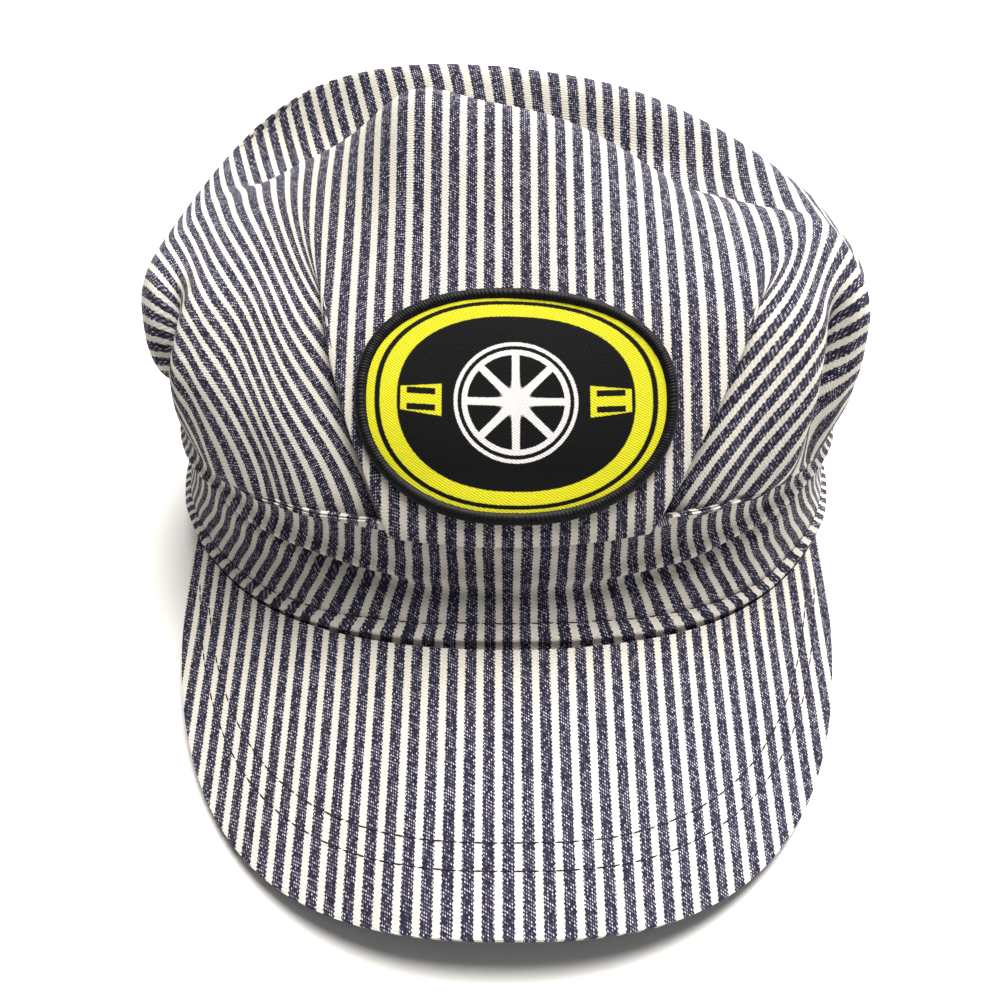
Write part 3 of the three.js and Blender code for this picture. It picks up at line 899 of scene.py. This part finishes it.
def printed_twill():
    """Matte ink on fine twill: flat strong colour that breaks up slightly on the weave, with painted shade
    in the grooves between the twill's ribs.
    """
    material, tree = empty_material("printed_cotton_twill")
    place = add(tree, "UVMap", uv_map="cloth")
    in_mm = add(tree, "Mapping", {"Vector": place.outputs[0], "Scale": (1000, 1000, 1000)})
    fuzz = add(tree, "TexNoise", {"Vector": in_mm.outputs[0], "Scale": 2.2, "Detail": 2.0})
    fuzz_off = add(tree, "VectorMath", {0: fuzz.outputs["Color"], 1: (0.5, 0.5, 0.5)}, operation="SUBTRACT")
    moved = add(tree, "VectorMath", {
        0: fuzz_off.outputs[0], 1: (0.35, 0.35, 0), 2: in_mm.outputs[0],
    }, operation="MULTIPLY_ADD")
    xy = add(tree, "SeparateXYZ", {0: moved.outputs[0]})
    x, y = xy.outputs[0], xy.outputs[1]

    def inside(distance, edge):
        """A filled shape: 1 where the distance is under the edge, with the soft edge of ink."""
        return add(tree, "MapRange", {
            "Value": distance, "From Min": edge + ink_edge, "From Max": edge - ink_edge,
        }).outputs[0]

    def ring(distance, outer, inner):
        """A shape between two edges."""
        return add(tree, "Math", {
            0: inside(distance, outer), 1: inside(distance, inner),
        }, operation="SUBTRACT").outputs[0]

    # The oval: a distance that is oval_edge on the patch's outline.
    side = add(tree, "Math", {0: x}, operation="ABSOLUTE").outputs[0]
    height = add(tree, "Math", {0: y}, operation="ABSOLUTE").outputs[0]
    across = add(tree, "Math", {0: side, 1: 2 / patch_width}, operation="MULTIPLY").outputs[0]
    across = add(tree, "Math", {0: across, 1: patch_square}, operation="POWER").outputs[0]
    upward = add(tree, "Math", {0: height, 1: 2 / patch_height}, operation="MULTIPLY").outputs[0]
    upward = add(tree, "Math", {0: upward, 1: patch_square}, operation="POWER").outputs[0]
    both = add(tree, "Math", {0: across, 1: upward}, operation="ADD").outputs[0]
    oval = add(tree, "Math", {0: both, 1: 1 / patch_square}, operation="POWER").outputs[0]
    oval = add(tree, "Math", {0: oval, 1: oval_edge}, operation="MULTIPLY").outputs[0]

    # The wheel: a double rim, a hub and eight spokes.
    reach = add(tree, "VectorMath", {0: moved.outputs[0]}, operation="LENGTH").outputs["Value"]
    angle = add(tree, "Math", {0: y, 1: x}, operation="ARCTAN2").outputs[0]
    turns = add(tree, "Math", {0: angle, 1: spoke_pairs}, operation="MULTIPLY").outputs[0]
    swing = add(tree, "Math", {0: turns}, operation="SINE").outputs[0]
    swing = add(tree, "Math", {0: swing}, operation="ABSOLUTE").outputs[0]
    from_spoke = add(tree, "Math", {0: swing, 1: reach}, operation="MULTIPLY").outputs[0]
    from_spoke = add(tree, "Math", {0: from_spoke, 1: 1 / spoke_pairs}, operation="MULTIPLY").outputs[0]
    spokes = add(tree, "Math", {
        0: inside(from_spoke, spoke_half), 1: inside(reach, spoke_reach),
    }, operation="MULTIPLY").outputs[0]
    wheel = add(tree, "Math", {0: inside(reach, wheel_hub), 1: spokes}, operation="MAXIMUM").outputs[0]
    wheel = add(tree, "Math", {0: wheel, 1: ring(reach, *wheel_rim)}, operation="MAXIMUM").outputs[0]

    # The bars at both sides narrow outwards, and each has two slots.
    taper = add(tree, "Math", {0: side, 1: bar_taper, 2: bar_half}, operation="MULTIPLY_ADD").outputs[0]
    from_bar = add(tree, "Math", {0: height, 1: taper}, operation="SUBTRACT").outputs[0]
    bar = add(tree, "Math", {
        0: inside(from_bar, 0.0), 1: ring(side, *bar_ends),
    }, operation="MULTIPLY").outputs[0]
    from_slot = add(tree, "Math", {0: height, 1: slot_middle}, operation="SUBTRACT").outputs[0]
    from_slot = add(tree, "Math", {0: from_slot}, operation="ABSOLUTE").outputs[0]
    slot = add(tree, "Math", {
        0: inside(from_slot, slot_half), 1: ring(side, *slot_ends),
    }, operation="MULTIPLY").outputs[0]

    colour = add(tree, "Mix", {
        "Factor": fuzz.outputs[0], "A": linear("#b8b420"), "B": linear("#cfcb3e"),
    }, data_type="RGBA").outputs["Result"]
    inks = [
        (ring(oval, *line_edges), "#0f0d11"),
        (inside(oval, field_edge), "#0f0d11"),
        (wheel, "#d0cecb"),
        (ring(reach, *wheel_groove), "#0f0d11"),
        (bar, "#c4bf30"),
        (slot, "#0f0d11"),
    ]
    for shape, ink in inks:
        colour = add(tree, "Mix", {
            "Factor": shape, "A": colour, "B": linear(ink),
        }, data_type="RGBA").outputs["Result"]

    # Twill ribs, drawn a little coarse so that they show. Their colour carries painted shade in the grooves
    # between the ribs and painted light on the ribs' tops, besides the bump.
    slanted = add(tree, "Math", {0: x, 1: rib_slope, 2: y}, operation="MULTIPLY_ADD").outputs[0]
    phase = add(tree, "Math", {0: slanted, 1: 2 * math.pi / rib_pitch}, operation="MULTIPLY").outputs[0]
    rib = add(tree, "Math", {0: phase}, operation="SINE").outputs[0]
    # Painted shade and light: the ink is multiplied darker in the rib grooves and lighter on the rib tops.
    rib_painted_shade = add(tree, "MapRange", {"Value": rib, "From Min": -1.0, "To Min": 0.94, "To Max": 1.02})
    colour = add(tree, "Mix", {
        "Factor": 1.0, "A": colour, "B": rib_painted_shade.outputs[0],
    }, data_type="RGBA", blend_type="MULTIPLY").outputs["Result"]
    bump = add(tree, "Bump", {"Height": rib, "Strength": 0.35, "Distance": 0.0001})
    shader = add(tree, "BsdfPrincipled", {
        "Base Color": colour, "Roughness": 0.75, "Specular IOR Level": 0.3, "Normal": bump.outputs[0],
    })
    add(tree, "OutputMaterial", {"Surface": shader.outputs[0]})
    return material


patch = sewn_sheet("patch_print", *patch_cloth())
give_wall(patch, patch_wall)
patch.data.materials.append(printed_twill())
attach(patch, "root")
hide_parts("patch")


# Patch border
# Black rayon thread overlocked in close slanted loops around the patch's edge. It covers the
# twill's cut edge and stands up as a raised cord.
border_height = 2.1
border_foot = 0.15
border_loops = 250
loop_swell = 0.26
loop_spread = 0.16
loop_fuzz = 0.10
border_round = 0.235
border_across = 0.006


def border_thread_grid(columns=1000, rows=12):
    turn = np.linspace(0, 2 * np.pi, columns + 1)[None, :]
    share = np.linspace(0, 1, rows + 1)[:, None]
    bend = np.pi * (1.08 * share - 0.04)
    inset = border_width / 2 * (1 + 0.98 * np.cos(bend))
    phase = turn / (2 * np.pi) * border_loops + 0.8 * share
    thread = np.abs(np.sin(np.pi * phase))
    swell = loop_swell * thread + loop_fuzz * np.sin(turn * 37) * np.sin(turn * 13 + 2)
    rise = np.sign(np.sin(bend)) * np.abs(np.sin(bend)) ** 0.75
    lift = (border_height - border_foot + swell) * rise + border_foot
    inset = inset - loop_spread * thread * np.cos(bend)
    half, tall = patch_width / 2 - inset, patch_height / 2 - inset
    right = half * squared(np.sin(turn), patch_square)
    up = tall * squared(np.cos(turn), patch_square)
    points = panel_point(patch_shift + right, patch_rise + up, lift)
    points[:, -1] = points[:, 0]
    run = turn / (2 * np.pi) * border_round
    flat = np.stack(np.broadcast_arrays(run, share * border_across), -1)
    return in_frame(points), flat


def merrow_thread():
    """Black rayon thread: dark, with a soft glint along each loop and a dusting of lint."""
    material, tree = empty_material("black_rayon_thread")
    coordinates = add(tree, "TexCoord")
    lint = add(tree, "TexNoise", {"Vector": coordinates.outputs["Object"], "Scale": 2600.0, "Detail": 3.0})
    speck = add(tree, "MapRange", {"Value": lint.outputs[0], "From Min": 0.62, "From Max": 0.8})
    colour = add(tree, "Mix", {
        "Factor": speck.outputs[0], "A": linear("#09080b"), "B": linear("#56535e"),
    }, data_type="RGBA")
    bump = add(tree, "Bump", {"Height": lint.outputs[0], "Strength": 0.4, "Distance": 0.0001})
    shader = add(tree, "BsdfPrincipled", {
        "Base Color": colour.outputs["Result"],
        "Roughness": 0.6,
        "Specular IOR Level": 0.35,
        "Sheen Weight": 0.1,
        "Normal": bump.outputs[0],
    })
    add(tree, "OutputMaterial", {"Surface": shader.outputs[0]})
    return material


border_thread = merrow_thread()
border = sewn_sheet("patch_border_thread", *border_thread_grid())
border.data.materials.append(border_thread)
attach(border, "root")
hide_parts("patch_border")


# Topstitching
# Navy cotton thread in straight machine stitches. Two rows around the visor hold its cover, and one
# row around the band holds its turned-in foot.
stitch_length = 2.9
stitch_gap = 0.35
stitch_radius = 0.19
stitch_lift = 0.04
stitch_tilt = 0.05


def sew(name, path, out):
    """Stitches along a path in millimetres, lying on a cloth with the given outward directions."""
    steps = np.linalg.norm(np.diff(path, axis=0), axis=1)
    run = np.concatenate([[0], np.cumsum(steps)])
    chance = random.Random(len(path))
    bm = bmesh.new()
    at = 0.5
    while at + stitch_length < run[-1]:
        holes = (at, at + stitch_length)
        ends = [np.array([np.interp(d, run, path[:, k]) for k in range(3)]) for d in holes]
        middle = at + stitch_length / 2
        up = Vector([np.interp(middle, run, out[:, k]) for k in range(3)]).normalized()
        ahead = Vector(ends[1] - ends[0])
        length = ahead.length
        ahead.normalize()
        side = up.cross(ahead).normalized()
        up = ahead.cross(side).normalized()
        centre = Vector(in_frame((ends[0] + ends[1]) / 2)) + up * (stitch_lift / 1000)
        turn = Matrix((ahead, side, up)).transposed().to_4x4()
        tilt = Matrix.Rotation(chance.uniform(-stitch_tilt, stitch_tilt), 4, "Z")
        size = Matrix.Diagonal((length / 2000, stitch_radius / 1000, stitch_radius / 1000, 1))
        bmesh.ops.create_uvsphere(
            bm, u_segments=6, v_segments=5, radius=1,
            matrix=Matrix.Translation(centre) @ turn @ tilt @ size @ Matrix.Rotation(math.pi / 2, 4, "Y"),
        )
        at += stitch_length + stitch_gap
    mesh = bpy.data.meshes.new(name)
    bm.to_mesh(mesh)
    bm.free()
    mesh.shade_smooth()
    piece = bpy.data.objects.new(name, mesh)
    bpy.context.scene.collection.objects.link(piece)
    piece.data.materials.append(stitch_thread)
    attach(piece, "root")
    return piece


def navy_thread():
    """Spun cotton thread: matte navy with fine slanted plies."""
    material, tree = empty_material("navy_cotton_thread")
    coordinates = add(tree, "TexCoord")
    plies = add(tree, "TexNoise", {"Vector": coordinates.outputs["Object"], "Scale": 4000.0})
    colour = add(tree, "Mix", {
        "Factor": plies.outputs[0], "A": linear("#1d1b28"), "B": linear("#4b4858"),
    }, data_type="RGBA")
    shader = add(tree, "BsdfPrincipled", {
        "Base Color": colour.outputs["Result"], "Roughness": 0.8, "Specular IOR Level": 0.2,
    })
    add(tree, "OutputMaterial", {"Surface": shader.outputs[0]})
    return material


stitch_thread = navy_thread()


def visor_row(distance, ends):
    """A row of stitches this far inside the visor's edge."""
    across = np.linspace(-ends, ends, 300)
    whole = visor_point(across, 1 + 0 * across)
    seam = visor_point(across, 0 * across)
    depth = np.linalg.norm(whole - seam, axis=1)
    path = visor_top(across, 1 - np.minimum(distance / depth, 0.97))
    return path, np.tile((0.0, 0.0, 1.0), (len(path), 1))


# Millimetres inside the visor's edge, and how far the row reaches towards the visor's ends.
visor_rows = [
    ("visor_outer_stitches", 15, 0.9),
    ("visor_inner_stitches", 21.5, 0.86),
]
for row_name, inside_edge, row_ends in visor_rows:
    sew(row_name, *visor_row(inside_edge, row_ends))


def band_row(height, first, last):
    """A row of stitches this high above the band's foot."""
    turn = np.linspace(first, last, 1400)
    tall = crown_base(turn, 0 * turn)[..., 2] - seam_gap - foot_point(turn)[..., 2]
    level = np.interp(height / tall, band_sections[:, 0], np.arange(len(band_sections)))
    return band_surface(turn, level), band_out(turn, level)


sew("band_foot_stitches", *band_row(groove_at, -180, 180))


# Studio
# A white table in a bright room, soft light from above and a little from behind and the right,
# and the camera where the photograph was taken: above the front, looking down at 45 degrees.
table_size = 3
room_light = 0.15
sun_from = (0.14, 0.45, 1.1)
sun_strength = 4.4
sun_width = 42
camera_place = (-0.002, -0.2318, 0.2559)
camera_lens = 38.95
floor_mesh = bpy.data.meshes.new("table_top")
floor_bm = bmesh.new()
bmesh.ops.create_grid(floor_bm, x_segments=4, y_segments=4, size=table_size)
floor_bm.to_mesh(floor_mesh)
floor_bm.free()
floor = bpy.data.objects.new("table_top", floor_mesh)
bpy.context.scene.collection.objects.link(floor)
white_table = bpy.data.materials.new("white_laminate")
white_table.use_nodes = True
table_shader = white_table.node_tree.nodes["Principled BSDF"]
table_shader.inputs["Base Color"].default_value = linear("#e4e3e2")
table_shader.inputs["Roughness"].default_value = 0.7
table_shader.inputs["Specular IOR Level"].default_value = 0.1
floor.data.materials.append(white_table)

world = bpy.data.worlds.new("bright_room")
bpy.context.scene.world = world
world.use_nodes = True
world.node_tree.nodes["Background"].inputs[0].default_value = linear("#fbfcff")
world.node_tree.nodes["Background"].inputs[1].default_value = room_light


def softbox(name, place, target, size, power, colour):
    light = bpy.data.lights.new(name, "AREA")
    light.shape = "DISK"
    light.size = size
    light.energy = power
    light.color = linear(colour)[:3]
    lamp = bpy.data.objects.new(name, light)
    bpy.context.scene.collection.objects.link(lamp)
    lamp.location = place
    lamp.rotation_euler = (Vector(target) - Vector(place)).to_track_quat("-Z", "Y").to_euler()


sun_data = bpy.data.lights.new("overhead_light", "SUN")
sun_data.energy = sun_strength
sun_data.angle = math.radians(sun_width)
sun_data.color = linear("#fffdf8")[:3]
sun = bpy.data.objects.new("overhead_light", sun_data)
bpy.context.scene.collection.objects.link(sun)
sun.rotation_euler = Vector(sun_from).to_track_quat("Z", "Y").to_euler()
softbox("window_light", (0.36, 0.34, 0.6), (0, 0.02, 0.1), 0.5, 2.6, "#fffefb")
softbox("fill_light", (0.55, -0.8, 0.55), (0, -0.02, 0.04), 0.7, 1.7, "#fbfcff")

camera_data = bpy.data.cameras.new("camera")
camera_data.lens = camera_lens
camera_data.sensor_width = 36
camera = bpy.data.objects.new("camera", camera_data)
bpy.context.scene.collection.objects.link(camera)
camera.location = camera_place
camera.rotation_euler = (math.radians(45), 0, 0)
camera_data.clip_start = 0.01
bpy.context.scene.camera = camera
bpy.context.scene.view_settings.view_transform = "Standard"
bpy.context.scene.view_settings.look = "High Contrast"

bpy.context.view_layer.update()
